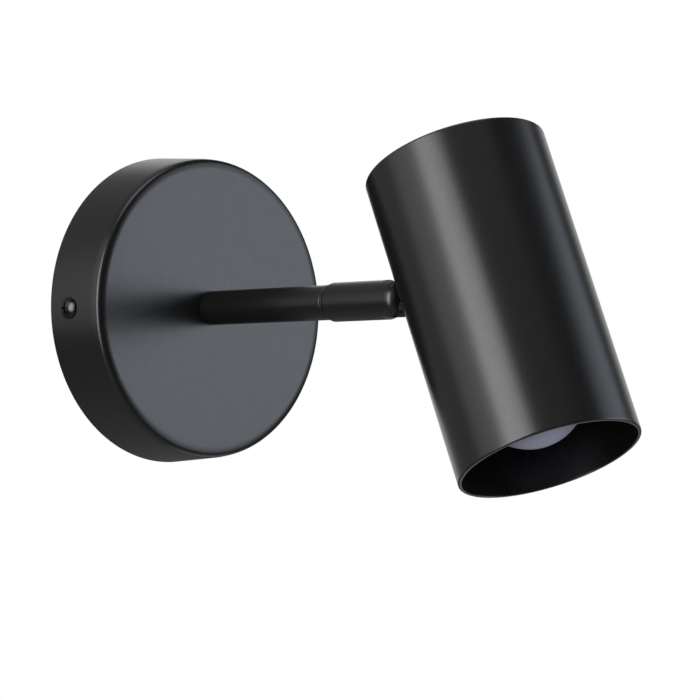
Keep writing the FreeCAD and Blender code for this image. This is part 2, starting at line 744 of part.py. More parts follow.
def add_stem_fixings():
    """The saddle washers outside and inside the tube wall, and the nut on the stem."""
    outside = ring("saddle_outside", stem_flange_radius, stem_radius, saddle_top - tube_bore,
                   (0, tube_bore, 0), "Y")
    tube_space = rod("saddle_tube_space", tube_radius, 4 * stem_flange_radius,
                     (0, 0, -2 * stem_flange_radius))
    node(cut("saddle_outer", outside, tube_space), "stem_outer_saddle", head_seat)
    inner_start = tube_bore - 2 * saddle_plate
    inside = ring("saddle_inside", stem_flange_radius, stem_radius, tube_radius - inner_start,
                  (0, inner_start, 0), "Y")
    bore_space = rod("saddle_bore_space", tube_bore, 4 * stem_flange_radius,
                     (0, 0, -2 * stem_flange_radius))
    node(common("saddle_inner", inside, bore_space), "stem_inner_saddle", head_seat)
    nut_start = inner_start - holder_strap_plate - stem_nut_height
    blank = hexagon("stem_nut_blank", stem_nut_flats, stem_nut_height, (0, nut_start, 0), "Y")
    bore = rod("stem_nut_bore", stem_radius, stem_nut_height, (0, nut_start, 0), "Y")
    node(cut("stem_nut", blank, bore), "stem_nut", head_seat)


# ---------------------------------------------------------------- head

def add_spot_tube():
    """The head's tube, open at the mouth, and the round cap pressed into its upper end."""
    tube = turned("tube_turned", [
        (tube_radius, -tube_down),
        (tube_radius, tube_up),
        (tube_bore, tube_up),
        (tube_bore, -tube_down),
    ])
    soften(tube, "Fillet", tube_rounding, tube_radius, tube_up)
    stem_hole = rod("tube_stem_hole", stem_radius, 2 * tube_wall,
                    (0, tube_bore - tube_wall / 2, 0), "Y")
    node(cut("tube_drilled", tube, stem_hole), "spot_tube", head_seat)
    node(rod("rear_cap", tube_bore, cap_plate, (0, 0, tube_up - cap_plate)), "rear_cap", head_seat)


dome_middle = dome_inset + dome_radius - tube_down
lamp_front = dome_middle
lamp_back = lamp_front + lamp_length
base_back = lamp_back + lamp_base_length


def add_lamp():
    """A two-pin spot lamp: domed diffuser, board, tapered housing, base and pins."""
    shell = primitive("Part::Sphere", "dome_outside", (0, 0, dome_middle), "Z",
                      Radius=dome_radius, Angle1=-90, Angle2=0)
    hollow = primitive("Part::Sphere", "dome_hollow", (0, 0, dome_middle), "Z",
                       Radius=dome_radius - dome_wall)
    node(cut("dome", shell, hollow), "lamp_diffuser", head_seat)
    node(rod("led_board", board_radius, board_plate, (0, 0, lamp_front - board_plate)),
         "led_board", head_seat)
    housing = turned("housing_turned", [
        (0, lamp_front),
        (lamp_radius, lamp_front),
        (lamp_radius, lamp_front + lamp_rim),
        (lamp_neck_radius, lamp_back),
        (0, lamp_back),
    ])
    node(housing, "lamp_housing", head_seat)
    node(rod("lamp_base", lamp_base_radius, lamp_base_length, (0, 0, lamp_back)),
         "lamp_base", head_seat)
    pins = []
    for label, side in (("left", -1), ("right", 1)):
        place = (side * lamp_pin_pitch / 2, 0, base_back)
        head_place = (place[0], place[1], base_back + lamp_pin_length - lamp_pin_head)
        stem = rod(f"lamp_pin_{label}_stem", lamp_pin_radius, lamp_pin_length, place)
        head = rod(f"lamp_pin_{label}_head", lamp_pin_head_radius, lamp_pin_head, head_place)
        pins.append(fuse(f"lamp_pin_{label}", stem, head))
    node(group("lamp_pins", *pins), "lamp_pins", head_seat)


holder_front = base_back + hole_clearance
holder_back = holder_front + holder_length
lead_level = holder_front + holder_lead_level
lead_side = holder_strap_width / 2 + 3 * wire_radius
lead_face = root(holder_radius * holder_radius - lead_side * lead_side)
lead_tip = lead_face - holder_lead_depth
strap_end = holder_screw_spacing / 2 + screw_head_radius


def add_lampholder():
    """The ceramic lampholder, hung from the stem by a bent strap and two screws."""
    body = rod("holder_body", holder_radius, holder_length, (0, 0, holder_front))
    pockets = []
    for label, side in (("left", -1), ("right", 1)):
        for place in (0, 1):
            y_place = side * place * holder_pocket_radius
            pockets.append(rod(f"holder_pocket_{label}_{place}", holder_pocket_radius,
                               lamp_pin_length + hole_clearance,
                               (side * lamp_pin_pitch / 2, y_place, holder_front)))
    screw_holes = [rod(f"holder_screw_hole_{side}", screw_radius, holder_screw_length,
                       (0, side * holder_screw_spacing / 2, holder_back - holder_screw_length))
                   for side in (-1, 1)]
    lead_ways = [rod(f"holder_lead_way_{label}", wire_radius, 2 * holder_lead_depth,
                     (side * lead_side, lead_tip, lead_level), "Y")
                 for label, side in (("left", -1), ("right", 1))]
    node(cut("holder_cut", body, *pockets, *screw_holes, *lead_ways), "lampholder", head_seat)

    wall_outside = tube_bore - 2 * saddle_plate
    wall_inside = wall_outside - holder_strap_plate
    strap_bottom = -stem_flange_radius
    strap_top = holder_back + holder_strap_plate
    upright = block("strap_upright", (holder_strap_width, holder_strap_plate,
                                      strap_top - strap_bottom),
                    (-holder_strap_width / 2, wall_inside, strap_bottom))
    shelf = block("strap_shelf", (holder_strap_width, wall_outside + strap_end,
                                  holder_strap_plate),
                  (-holder_strap_width / 2, -strap_end, holder_back))
    strap_holes = [rod("strap_stem_hole", stem_radius, holder_strap_plate,
                       (0, wall_inside, 0), "Y")]
    screws = []
    for label, side in (("near", -1), ("far", 1)):
        y_place = side * holder_screw_spacing / 2
        strap_holes.append(rod(f"strap_hole_{label}", screw_radius, holder_strap_plate,
                               (0, y_place, holder_back)))
        shank = rod(f"holder_screw_{label}_shank", screw_radius,
                    holder_screw_length + holder_strap_plate,
                    (0, y_place, holder_back - holder_screw_length))
        head = rod(f"holder_screw_{label}_head", screw_head_radius, screw_head_height,
                   (0, y_place, strap_top))
        screws.append(fuse(f"holder_screw_{label}", shank, head))
    node(cut("strap_cut", fuse("strap_blank", upright, shelf), *strap_holes),
         "lampholder_strap", head_seat)
    node(group("holder_screws", *screws), "lampholder_screws", head_seat)


def add_head_leads():
    """Two short leads from the stem's bore to the side of the lampholder."""
    for label, side in (("live_head_lead", -1), ("neutral_head_lead", 1)):
        bore_x = side * wire_spread
        side_x = side * lead_side
        route = [
            (bore_x, saddle_top + stem_flange, 0),
            (bore_x, stem_inner_end - head_lead_drop, 0),
            (side_x, lead_face + head_lead_out, lead_level - head_lead_fall),
            (side_x, lead_face + head_lead_exit, lead_level),
            (side_x, lead_tip, lead_level),
        ]
        node(lead(label, wire_radius, route), label, head_seat)


add_canopy()
add_wall_bracket()
node(group("side_screws", side_screw("side_screw_left", -1), side_screw("side_screw_right", 1)),
     "canopy_side_screws", arm_seat)
add_arm()
add_arm_collar()
add_terminals()
add_earth_point()
add_base_leads()
add_swivel_body()
add_swivel_stud()
add_hinge_pin()
add_stem()
add_stem_fixings()
add_spot_tube()
add_lamp()
add_lampholder()
add_head_leads()
doc.recompute()

# ---------------------------------------------------------------- checks and STEP files

for item in doc.Objects:
    if "Invalid" in item.State or "Error" in item.State:
        raise RuntimeError(f"{item.Name} failed: {item.State}")
for piece in nodes:
    if piece.Shape.isNull() or not piece.Shape.isValid() or not piece.Shape.Solids:
        raise RuntimeError(f"{piece.Label} has no sound solid")

os.makedirs("parts", exist_ok=True)
for piece in nodes:
    piece.Shape.exportStep(f"parts/{piece.Label}.step")
    print(piece.Label, len(piece.Shape.Solids), "solids", round(piece.Shape.Volume, 1), "mm3")
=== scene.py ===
"""Pivoting spotlight wall light in satin black: round canopy, straight arm, fork swivel and head.

Everything is in metres in the CAD frame. The wall is the plane y = 0 and the light stands out
of it along -Y. Sizes in the sections are in millimetres and go through a seat, which turns
them into place in metres.
"""
import json
from math import asin, cos, pi, radians, sin, tan

import bmesh
import bpy
from mathutils import Matrix, Vector


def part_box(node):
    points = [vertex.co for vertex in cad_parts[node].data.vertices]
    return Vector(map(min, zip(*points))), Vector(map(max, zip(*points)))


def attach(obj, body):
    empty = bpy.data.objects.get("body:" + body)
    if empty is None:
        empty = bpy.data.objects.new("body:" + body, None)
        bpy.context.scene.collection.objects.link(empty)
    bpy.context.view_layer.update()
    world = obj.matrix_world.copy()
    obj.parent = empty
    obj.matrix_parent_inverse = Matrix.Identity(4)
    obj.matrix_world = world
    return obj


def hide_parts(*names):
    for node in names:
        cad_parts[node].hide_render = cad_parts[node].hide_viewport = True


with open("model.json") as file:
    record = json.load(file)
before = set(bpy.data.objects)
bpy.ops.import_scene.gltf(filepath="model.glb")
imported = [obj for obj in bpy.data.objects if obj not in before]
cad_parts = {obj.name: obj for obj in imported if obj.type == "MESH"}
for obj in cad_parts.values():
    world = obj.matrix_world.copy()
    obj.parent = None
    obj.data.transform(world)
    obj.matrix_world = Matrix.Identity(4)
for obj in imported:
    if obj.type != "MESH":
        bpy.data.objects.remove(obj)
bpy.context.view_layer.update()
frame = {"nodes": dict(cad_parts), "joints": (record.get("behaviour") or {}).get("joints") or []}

scene = bpy.context.scene
scene.view_settings.view_transform = "Standard"

# ------------------------------------------------------------------ camera
# A long lens a little below the arm and to the left of it, as the photograph was taken.
# The numbers come from fitting the canopy's circles, the arm and the head's outline.

CAMERA_PLACE = (-0.85669754, -0.97310737, -0.03754589)
CAMERA_HEADING = radians(-43.9968)
CAMERA_PITCH = radians(91.0390)
CAMERA_ROLL = radians(-0.9224)

camera_data = bpy.data.cameras.new("camera")
camera_data.sensor_width = 36
camera_data.lens = 202.45
camera_data.clip_start = 0.05
camera = bpy.data.objects.new("camera", camera_data)
scene.collection.objects.link(camera)
camera.matrix_world = (
    Matrix.Translation(CAMERA_PLACE)
    @ Matrix.Rotation(CAMERA_HEADING, 4, "Z")
    @ Matrix.Rotation(CAMERA_PITCH, 4, "X")
    @ Matrix.Rotation(CAMERA_ROLL, 4, "Z")
)
scene.camera = camera

# ------------------------------------------------------------------ studio
# A white background, a pale floor well below the light, and soft panels round it. Reflections
# see the background, a dimmer room beside it and a dark room behind the camera.

ROOM_LEVEL = 0.42       # the room's even light on matt surfaces
BACKDROP_LEVEL = 1.0    # the white that the camera sees

world = bpy.data.worlds.new("studio_world")
scene.world = world
world.use_nodes = True
room = world.node_tree.nodes
room_links = world.node_tree.links
room.clear()
room_out = room.new("ShaderNodeOutputWorld")
backdrop_light = room.new("ShaderNodeBackground")
backdrop_light.inputs["Color"].default_value = (1, 1, 1, 1)
room_links.new(backdrop_light.outputs["Background"], room_out.inputs["Surface"])
ray = room.new("ShaderNodeLightPath")
room_direction = room.new("ShaderNodeTexCoord")


def room_glow(towards, start, end, low, high):
    """A level that grows from low to high as the direction turns towards the given one."""
    facing = room.new("ShaderNodeVectorMath")
    facing.operation = "DOT_PRODUCT"
    facing.inputs[1].default_value = towards
    room_links.new(room_direction.outputs["Generated"], facing.inputs[0])
    glow = room.new("ShaderNodeMapRange")
    glow.interpolation_type = "SMOOTHSTEP"
    glow.inputs["From Min"].default_value = start
    glow.inputs["From Max"].default_value = end
    glow.inputs["To Min"].default_value = low
    glow.inputs["To Max"].default_value = high
    room_links.new(facing.outputs["Value"], glow.inputs["Value"])
    return glow.outputs["Result"]


def greater_of(first, second):
    """The greater of two levels."""
    greater = room.new("ShaderNodeMath")
    greater.operation = "MAXIMUM"
    room_links.new(first, greater.inputs[0])
    room_links.new(second, greater.inputs[1])
    return greater.outputs["Value"]


behind_light = room_glow((0.694, 0.719, 0.018), start=0.70, end=0.94, low=0.0, high=1.0)
far_left = room_glow((-0.30, 0.92, 0.25), start=0.0, end=0.75, low=0.05, high=0.29)
near_left = room_glow((-0.65, -0.57, 0.50), start=0.45, end=1.0, low=0.0, high=0.22)
reflected_level = greater_of(behind_light, greater_of(far_left, near_left))
lighting_level = room.new("ShaderNodeMix")
lighting_level.inputs["A"].default_value = ROOM_LEVEL
room_links.new(ray.outputs["Is Glossy Ray"], lighting_level.inputs["Factor"])
room_links.new(reflected_level, lighting_level.inputs["B"])
seen_directly = greater_of(ray.outputs["Is Camera Ray"], ray.outputs["Is Transmission Ray"])
backdrop_level = room.new("ShaderNodeMix")
backdrop_level.inputs["B"].default_value = BACKDROP_LEVEL
room_links.new(seen_directly, backdrop_level.inputs["Factor"])
room_links.new(lighting_level.outputs["Result"], backdrop_level.inputs["A"])
room_links.new(backdrop_level.outputs["Result"], backdrop_light.inputs["Strength"])


PANEL_TARGET = Vector((0, -0.15, 0))
PANEL_SPREAD = radians(110)
PLAIN_WHITE = (1.0, 1.0, 1.0)
COOL_WHITE = (0.83, 0.90, 1.0)
FAINT_COOL = (0.92, 0.94, 1.0)


def soft_panel(name, towards, distance, size, power, colour):
    """A soft rectangular lamp that faces the head from the given direction."""
    away = Vector(towards).normalized()
    lamp = bpy.data.lights.new(name, "AREA")
    lamp.shape = "RECTANGLE"
    lamp.size, lamp.size_y = size
    lamp.energy = power
    lamp.color = colour
    lamp.spread = PANEL_SPREAD
    holder = bpy.data.objects.new(name, lamp)
    holder.matrix_world = (Matrix.Translation(PANEL_TARGET + away * distance)
                           @ away.to_track_quat("Z", "Y").to_matrix().to_4x4())
    holder.visible_camera = False
    scene.collection.objects.link(holder)


# The left panel draws the head's broad band, the right one its narrow blue band, and the
# front one lights the canopy's face. The others lift the sides, the top and the lamp's dome.
soft_panel("left_panel", (-0.987, -0.095, 0.130), distance=1.25, size=(0.72, 1.4), power=7.5,
           colour=PLAIN_WHITE)
soft_panel("left_fill", (-0.868, 0.425, 0.259), distance=1.25, size=(0.95, 1.2), power=1.2,
           colour=PLAIN_WHITE)
soft_panel("right_panel", (0.797, -0.553, 0.242), distance=0.8, size=(0.68, 0.6), power=0.74,
           colour=COOL_WHITE)
soft_panel("front_panel", (0.70, -0.70, -0.10), distance=0.8, size=(0.4, 0.6), power=0.6,
           colour=COOL_WHITE)
soft_panel("top_panel", (-0.1, -0.2, 1.0), distance=1.2, size=(0.9, 0.9), power=2.0,
           colour=PLAIN_WHITE)
soft_panel("low_panel", (0.45, 0.10, -0.89), distance=0.62, size=(0.55, 0.55), power=0.25,
           colour=FAINT_COOL)

FLOOR_HALF = 4
FLOOR_LEVEL = -0.6
FLOOR_REFLECTED = (0.28, 0.28, 0.28, 1)
FLOOR_SEEN = (0.85, 0.85, 0.85, 1)

floor_mesh = bpy.data.meshes.new("studio_floor")
floor_corners = [(across * FLOOR_HALF, along * FLOOR_HALF, FLOOR_LEVEL)
                 for across, along in ((-1, -1), (1, -1), (1, 1), (-1, 1))]
floor_mesh.from_pydata(floor_corners, [], [(0, 1, 2, 3)])
studio_floor = bpy.data.objects.new("studio_floor", floor_mesh)
scene.collection.objects.link(studio_floor)
floor_paint = bpy.data.materials.new("pale_floor")
floor_paint.use_nodes = True
floor_nodes = floor_paint.node_tree.nodes
floor_links = floor_paint.node_tree.links
floor_shader = floor_nodes["Principled BSDF"]
floor_ray = floor_nodes.new("ShaderNodeLightPath")
floor_tone = floor_nodes.new("ShaderNodeMix")
floor_tone.data_type = "RGBA"
floor_tone.inputs["A"].default_value = FLOOR_REFLECTED
floor_tone.inputs["B"].default_value = FLOOR_SEEN
floor_links.new(floor_ray.outputs["Is Camera Ray"], floor_tone.inputs["Factor"])
floor_links.new(floor_tone.outputs["Result"], floor_shader.inputs["Base Color"])
floor_shader.inputs["Roughness"].default_value = 0.9
floor_mesh.materials.append(floor_paint)

# ------------------------------------------------------------------ wall bracket
# A zinc-plated steel strap with a round middle, two slots for the wall screws and two bent
# tabs that the canopy's side screws go into. It is punched and bent from 1.5 mm sheet.


def shader_group(name, inputs, outputs):
    """An empty shader node group with float inputs (name: default) and the named outputs."""
    group = bpy.data.node_groups.new(name, "ShaderNodeTree")
    for label, value in inputs.items():
        socket = group.interface.new_socket(label, in_out="INPUT", socket_type="NodeSocketFloat")
        socket.default_value = value
    for label in outputs:
        group.interface.new_socket(label, in_out="OUTPUT", socket_type="NodeSocketFloat")
    return group, group.nodes.new("NodeGroupInput"), group.nodes.new("NodeGroupOutput")


def plating_marks_group():
    """Cloudy tarnish, fine handling scratches and a faint rolled grain on plated metal."""
    group, given, made = shader_group(
        "plating_marks", {"Cloud Size": 300.0, "Scratch Size": 1500.0},
        ("Cloud", "Scratch", "Height"))
    nodes, links = group.nodes, group.links
    place = nodes.new("ShaderNodeTexCoord")
    cloud = nodes.new("ShaderNodeTexNoise")
    cloud.inputs["Detail"].default_value = 5
    cloud.inputs["Distortion"].default_value = 0.6
    links.new(place.outputs["Object"], cloud.inputs["Vector"])
    links.new(given.outputs["Cloud Size"], cloud.inputs["Scale"])
    stretch = nodes.new("ShaderNodeMapping")
    stretch.inputs["Scale"].default_value = (1.0, 0.12, 0.35)
    stretch.inputs["Rotation"].default_value = (0.3, 0.2, 0.9)
    links.new(place.outputs["Object"], stretch.inputs["Vector"])
    scratch = nodes.new("ShaderNodeTexNoise")
    scratch.inputs["Detail"].default_value = 3
    links.new(stretch.outputs["Vector"], scratch.inputs["Vector"])
    links.new(given.outputs["Scratch Size"], scratch.inputs["Scale"])
    lines = nodes.new("ShaderNodeMapRange")
    lines.inputs["From Min"].default_value = 0.56
    lines.inputs["From Max"].default_value = 0.72
    links.new(scratch.outputs["Fac"], lines.inputs["Value"])
    height = nodes.new("ShaderNodeMath")
    height.operation = "MULTIPLY_ADD"
    height.inputs[1].default_value = 0.5
    links.new(lines.outputs["Result"], height.inputs[0])
    links.new(cloud.outputs["Fac"], height.inputs[2])
    links.new(cloud.outputs["Fac"], made.inputs["Cloud"])
    links.new(lines.outputs["Result"], made.inputs["Scratch"])
    links.new(height.outputs["Value"], made.inputs["Height"])
    return group


plating_marks = plating_marks_group()


def group_node(nodes, group, **values):
    """The group as a node, with the given inputs set."""
    node = nodes.new("ShaderNodeGroup")
    node.node_tree = group
    for label, value in values.items():
        node.inputs[label.replace("_", " ")].default_value = value
    return node


def new_finish(name):
    """A new material with its nodes, its links and its shader."""
    finish = bpy.data.materials.new(name)
    finish.use_nodes = True
    nodes, links = finish.node_tree.nodes, finish.node_tree.links
    return finish, nodes, links, nodes["Principled BSDF"]


def blend_colours(nodes, links, mask, low, high):
    """Two colours mixed by a mask, ready for a colour socket."""
    mix = nodes.new("ShaderNodeMix")
    mix.data_type = "RGBA"
    mix.inputs["A"].default_value = (*low, 1)
    mix.inputs["B"].default_value = (*high, 1)
    links.new(mask, mix.inputs["Factor"])
    return mix.outputs["Result"]


def spread(nodes, links, mask, low, high):
    """A mask from 0 to 1 stretched to run from low to high."""
    spread_node = nodes.new("ShaderNodeMapRange")
    spread_node.inputs["To Min"].default_value = low
    spread_node.inputs["To Max"].default_value = high
    links.new(mask, spread_node.inputs["Value"])
    return spread_node.outputs["Result"]


def surface_bump(nodes, links, height, depth, shader):
    """Bump of the given depth in metres, from a height mask to the shader's normal."""
    bump = nodes.new("ShaderNodeBump")
    bump.inputs["Distance"].default_value = depth
    links.new(height, bump.inputs["Height"])
    links.new(bump.outputs["Normal"], shader.inputs["Normal"])


SCRATCH_DEPTH = 10e-6


def plated_metal(name, clean, dull, smooth, rough):
    """Plated metal with cloudy tarnish and fine scratches, from clean to dull."""
    finish, nodes, links, shader = new_finish(name)
    marks = group_node(nodes, plating_marks)
    links.new(blend_colours(nodes, links, marks.outputs["Cloud"], clean, dull),
              shader.inputs["Base Color"])
    links.new(spread(nodes, links, marks.outputs["Cloud"], smooth, rough),
              shader.inputs["Roughness"])
    shader.inputs["Metallic"].default_value = 1.0
    surface_bump(nodes, links, marks.outputs["Height"], SCRATCH_DEPTH, shader)
    return finish


def dress(names, finish):
    """Gives the named CAD pieces their finish."""
    for name in names:
        for material_slot in frame["nodes"][name].material_slots:
            material_slot.material = finish


zinc_plate = plated_metal("zinc_plate", (0.62, 0.64, 0.67), (0.47, 0.47, 0.45), 0.24, 0.44)
dress(["wall_bracket"], zinc_plate)

# ------------------------------------------------------------------ earth point
# A slotted brass screw in the bracket clamps the earth lead's ring tag, which is stamped from
# tinned copper.

tinned_tag = plated_metal("tinned_tag", (0.66, 0.66, 0.65), (0.52, 0.50, 0.47), 0.3, 0.5)
bright_brass = plated_metal("bright_brass", (0.72, 0.55, 0.28), (0.55, 0.39, 0.17), 0.25, 0.42)
dress(["earth_ring_tag"], tinned_tag)
dress(["earth_screw"], bright_brass)

# ------------------------------------------------------------------ supply terminals
# A moulded block of cloudy plastic with three brass clamps, each with its screw. One screw
# through the block's middle holds it on the bracket.


def moulded_skin_group():
    """A fine matt texture with slow flow marks, as on moulded plastic and fired ceramic."""
    group, given, made = shader_group(
        "moulded_skin", {"Grain Size": 2500.0, "Flow Size": 120.0}, ("Grain", "Flow", "Height"))
    nodes, links = group.nodes, group.links
    place = nodes.new("ShaderNodeTexCoord")
    grain = nodes.new("ShaderNodeTexNoise")
    grain.inputs["Detail"].default_value = 4
    links.new(place.outputs["Object"], grain.inputs["Vector"])
    links.new(given.outputs["Grain Size"], grain.inputs["Scale"])
    flow = nodes.new("ShaderNodeTexNoise")
    flow.inputs["Detail"].default_value = 2
    flow.inputs["Distortion"].default_value = 1.5
    links.new(place.outputs["Object"], flow.inputs["Vector"])
    links.new(given.outputs["Flow Size"], flow.inputs["Scale"])
    height = nodes.new("ShaderNodeMath")
    height.operation = "MULTIPLY_ADD"
    height.inputs[1].default_value = 0.6
    links.new(grain.outputs["Fac"], height.inputs[0])
    links.new(flow.outputs["Fac"], height.inputs[2])
    links.new(grain.outputs["Fac"], made.inputs["Grain"])
    links.new(flow.outputs["Fac"], made.inputs["Flow"])
    links.new(height.outputs["Value"], made.inputs["Height"])
    return group


moulded_skin = moulded_skin_group()


MOULDED_DEPTH = 10e-6


def moulded(name, light, shaded, smooth, rough):
    """A moulded or fired surface with flow marks between two close colours."""
    finish, nodes, links, shader = new_finish(name)
    marks = group_node(nodes, moulded_skin)
    links.new(blend_colours(nodes, links, marks.outputs["Flow"], light, shaded),
              shader.inputs["Base Color"])
    links.new(spread(nodes, links, marks.outputs["Grain"], smooth, rough),
              shader.inputs["Roughness"])
    surface_bump(nodes, links, marks.outputs["Height"], MOULDED_DEPTH, shader)
    return finish


cloudy_block = moulded("cloudy_block", (0.80, 0.82, 0.80), (0.72, 0.75, 0.72), 0.28, 0.42)
cloudy_block.node_tree.nodes["Principled BSDF"].inputs["Transmission Weight"].default_value = 0.35
dress(["terminal_block"], cloudy_block)
dress(["terminal_clamps"], bright_brass)
dress(["terminal_clamp_screws", "terminal_fixing_screw"], zinc_plate)

# ------------------------------------------------------------------ supply leads
# Three insulated copper leads run from the clamps and the earth tag into the arm. They are
# held at both ends. The earth lead is green with yellow stripes.


INSULATION_DEPTH = 8e-6
STRIPE_SCALE = 110


def insulation(name, colour, stripe=None):
    """Extruded wire insulation, with a soft gloss and, for earth, a second colour in stripes."""
    finish, nodes, links, shader = new_finish(name)
    marks = group_node(nodes, moulded_skin, Grain_Size=1800.0, Flow_Size=260.0)
    darker = tuple(0.8 * value for value in colour)
    base = blend_colours(nodes, links, marks.outputs["Flow"], colour, darker)
    if stripe:
        place = nodes.new("ShaderNodeTexCoord")
        bands = nodes.new("ShaderNodeTexWave")
        bands.bands_direction = "DIAGONAL"
        bands.inputs["Scale"].default_value = STRIPE_SCALE
        links.new(place.outputs["Object"], bands.inputs["Vector"])
        striped = nodes.new("ShaderNodeMapRange")
        striped.inputs["From Min"].default_value = 0.5
        striped.inputs["From Max"].default_value = 0.56
        links.new(bands.outputs["Fac"], striped.inputs["Value"])
        mix = nodes.new("ShaderNodeMix")
        mix.data_type = "RGBA"
        mix.inputs["B"].default_value = (*stripe, 1)
        links.new(striped.outputs["Result"], mix.inputs["Factor"])
        links.new(base, mix.inputs["A"])
        base = mix.outputs["Result"]
    links.new(base, shader.inputs["Base Color"])
    links.new(spread(nodes, links, marks.outputs["Grain"], 0.32, 0.46), shader.inputs["Roughness"])
    surface_bump(nodes, links, marks.outputs["Height"], INSULATION_DEPTH, shader)
    return finish


brown_insulation = insulation("brown_insulation", (0.16, 0.06, 0.025))
blue_insulation = insulation("blue_insulation", (0.03, 0.16, 0.50))
earth_insulation = insulation("earth_insulation", (0.05, 0.33, 0.08), (0.75, 0.62, 0.04))
dress(["live_lead"], brown_insulation)
dress(["neutral_lead"], blue_insulation)
dress(["earth_lead"], earth_insulation)

# ------------------------------------------------------------------ canopy
# A drawn steel cup that covers the bracket, with a small round at its front edge. It is
# powder coated in satin black like the arm and the head.


def coat_grain_group():
    """The skin of a fine powder coat: slow waves, a fine texture and a little dust."""
    group, given, made = shader_group(
        "coat_grain", {"Wave Size": 380.0, "Grain Size": 3200.0, "Dust Size": 900.0},
        ("Wave", "Grain", "Dust", "Height"))
    nodes, links = group.nodes, group.links
    place = nodes.new("ShaderNodeTexCoord")
    fields = {}
    for label, detail in (("Wave", 2), ("Grain", 3), ("Dust", 6)):
        field = nodes.new("ShaderNodeTexNoise")
        field.inputs["Detail"].default_value = detail
        links.new(place.outputs["Object"], field.inputs["Vector"])
        links.new(given.outputs[f"{label} Size"], field.inputs["Scale"])
        fields[label] = field.outputs["Fac"]
    specks = nodes.new("ShaderNodeMapRange")
    specks.inputs["From Min"].default_value = 0.62
    specks.inputs["From Max"].default_value = 0.80
    links.new(fields["Dust"], specks.inputs["Value"])
    height = nodes.new("ShaderNodeMath")
    height.operation = "MULTIPLY_ADD"
    height.inputs[1].default_value = 0.25
    links.new(fields["Grain"], height.inputs[0])
    links.new(fields["Wave"], height.inputs[2])
    links.new(fields["Wave"], made.inputs["Wave"])
    links.new(fields["Grain"], made.inputs["Grain"])
    links.new(specks.outputs["Result"], made.inputs["Dust"])
    links.new(height.outputs["Value"], made.inputs["Height"])
    return group


coat_grain = coat_grain_group()


def powder_coat(name, deep, worn, smooth, rough, depth):
    """Satin powder coat: nearly even black with a faint grain, and dust that dulls it a little."""
    finish, nodes, links, shader = new_finish(name)
    skin = group_node(nodes, coat_grain)
    links.new(blend_colours(nodes, links, skin.outputs["Dust"], deep, worn),
              shader.inputs["Base Color"])
    links.new(spread(nodes, links, skin.outputs["Wave"], smooth, rough),
              shader.inputs["Roughness"])
    surface_bump(nodes, links, skin.outputs["Height"], depth, shader)
    return finish


SATIN_BLACK = {"deep": (0.0046, 0.0046, 0.0050), "worn": (0.007, 0.007, 0.0075),
               "smooth": 0.26, "rough": 0.30, "depth": 3.5e-6}
black_coat = powder_coat("black_coat", **SATIN_BLACK)

# A seat turns an outline in millimetres into place. The arm's seat has its z axis along the arm.
CAD_MM = Matrix.Scale(0.001, 4)
ARM_SEAT = Matrix(((1, 0, 0, 0), (0, 0, -1, 0), (0, 1, 0, 0), (0, 0, 0, 1))) @ CAD_MM
ARC_STEPS = 6
HEM_OF_BEND = 0.3
HEM_OF_FLAT = 0.2
SHARP_ANGLE = radians(35)


def rounded_outline(corners):
    """Points round a closed outline of (radius, height, bend) corners, with arcs at the bends.

    A narrow hem beside each arc keeps the shading of the flats next to it even.
    """
    points = []
    for index, (radius, height, bend) in enumerate(corners):
        here = Vector((radius, height))
        if not bend:
            points.append(here)
            continue
        back = Vector(corners[index - 1][:2]) - here
        ahead = Vector(corners[(index + 1) % len(corners)][:2]) - here
        half_angle = back.angle(ahead) / 2
        reach = bend / tan(half_angle)
        flat = min(back.length, ahead.length) - reach
        hem = min(HEM_OF_BEND * bend, HEM_OF_FLAT * flat)
        back.normalize()
        ahead.normalize()
        centre = here + (back + ahead).normalized() * (bend / sin(half_angle))
        first = here + back * reach - centre
        last = here + ahead * reach - centre
        sweep = first.angle(last)
        points.append(here + back * (reach + hem))
        for step in range(ARC_STEPS + 1):
            part = step / ARC_STEPS
            points.append(centre + (first * sin((1 - part) * sweep)
                                    + last * sin(part * sweep)) / sin(sweep))
        points.append(here + ahead * (reach + hem))
    return points


def turned_mesh(name, corners, seat, turns):
    """A turned piece: a closed outline in millimetres spun about the seat's own z axis."""
    shape = bmesh.new()
    rings = []
    for point in rounded_outline(corners):
        rings.append([shape.verts.new(Matrix.Rotation(2 * pi * turn / turns, 3, "Z")
                                      @ Vector((point.x, 0, point.y)))
                      for turn in range(turns)])
    for low, high in zip(rings, rings[1:] + rings[:1]):
        for turn in range(turns):
            after = (turn + 1) % turns
            shape.faces.new((low[turn], low[after], high[after], high[turn]))
    bmesh.ops.recalc_face_normals(shape, faces=shape.faces)
    mesh = bpy.data.meshes.new(name)
    shape.to_mesh(mesh)
    shape.free()
    mesh.transform(seat)
    for face in mesh.polygons:
        face.use_smooth = True
    mesh.set_sharp_from_angle(angle=SHARP_ANGLE)
    piece = bpy.data.objects.new(name, mesh)
    scene.collection.objects.link(piece)
    return piece


def turned_size(node):
    """The radius, start and end in millimetres of a CAD piece that is turned about the arm."""
    low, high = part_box(node)
    return 1000 * high[0], -1000 * high[1], -1000 * low[1]


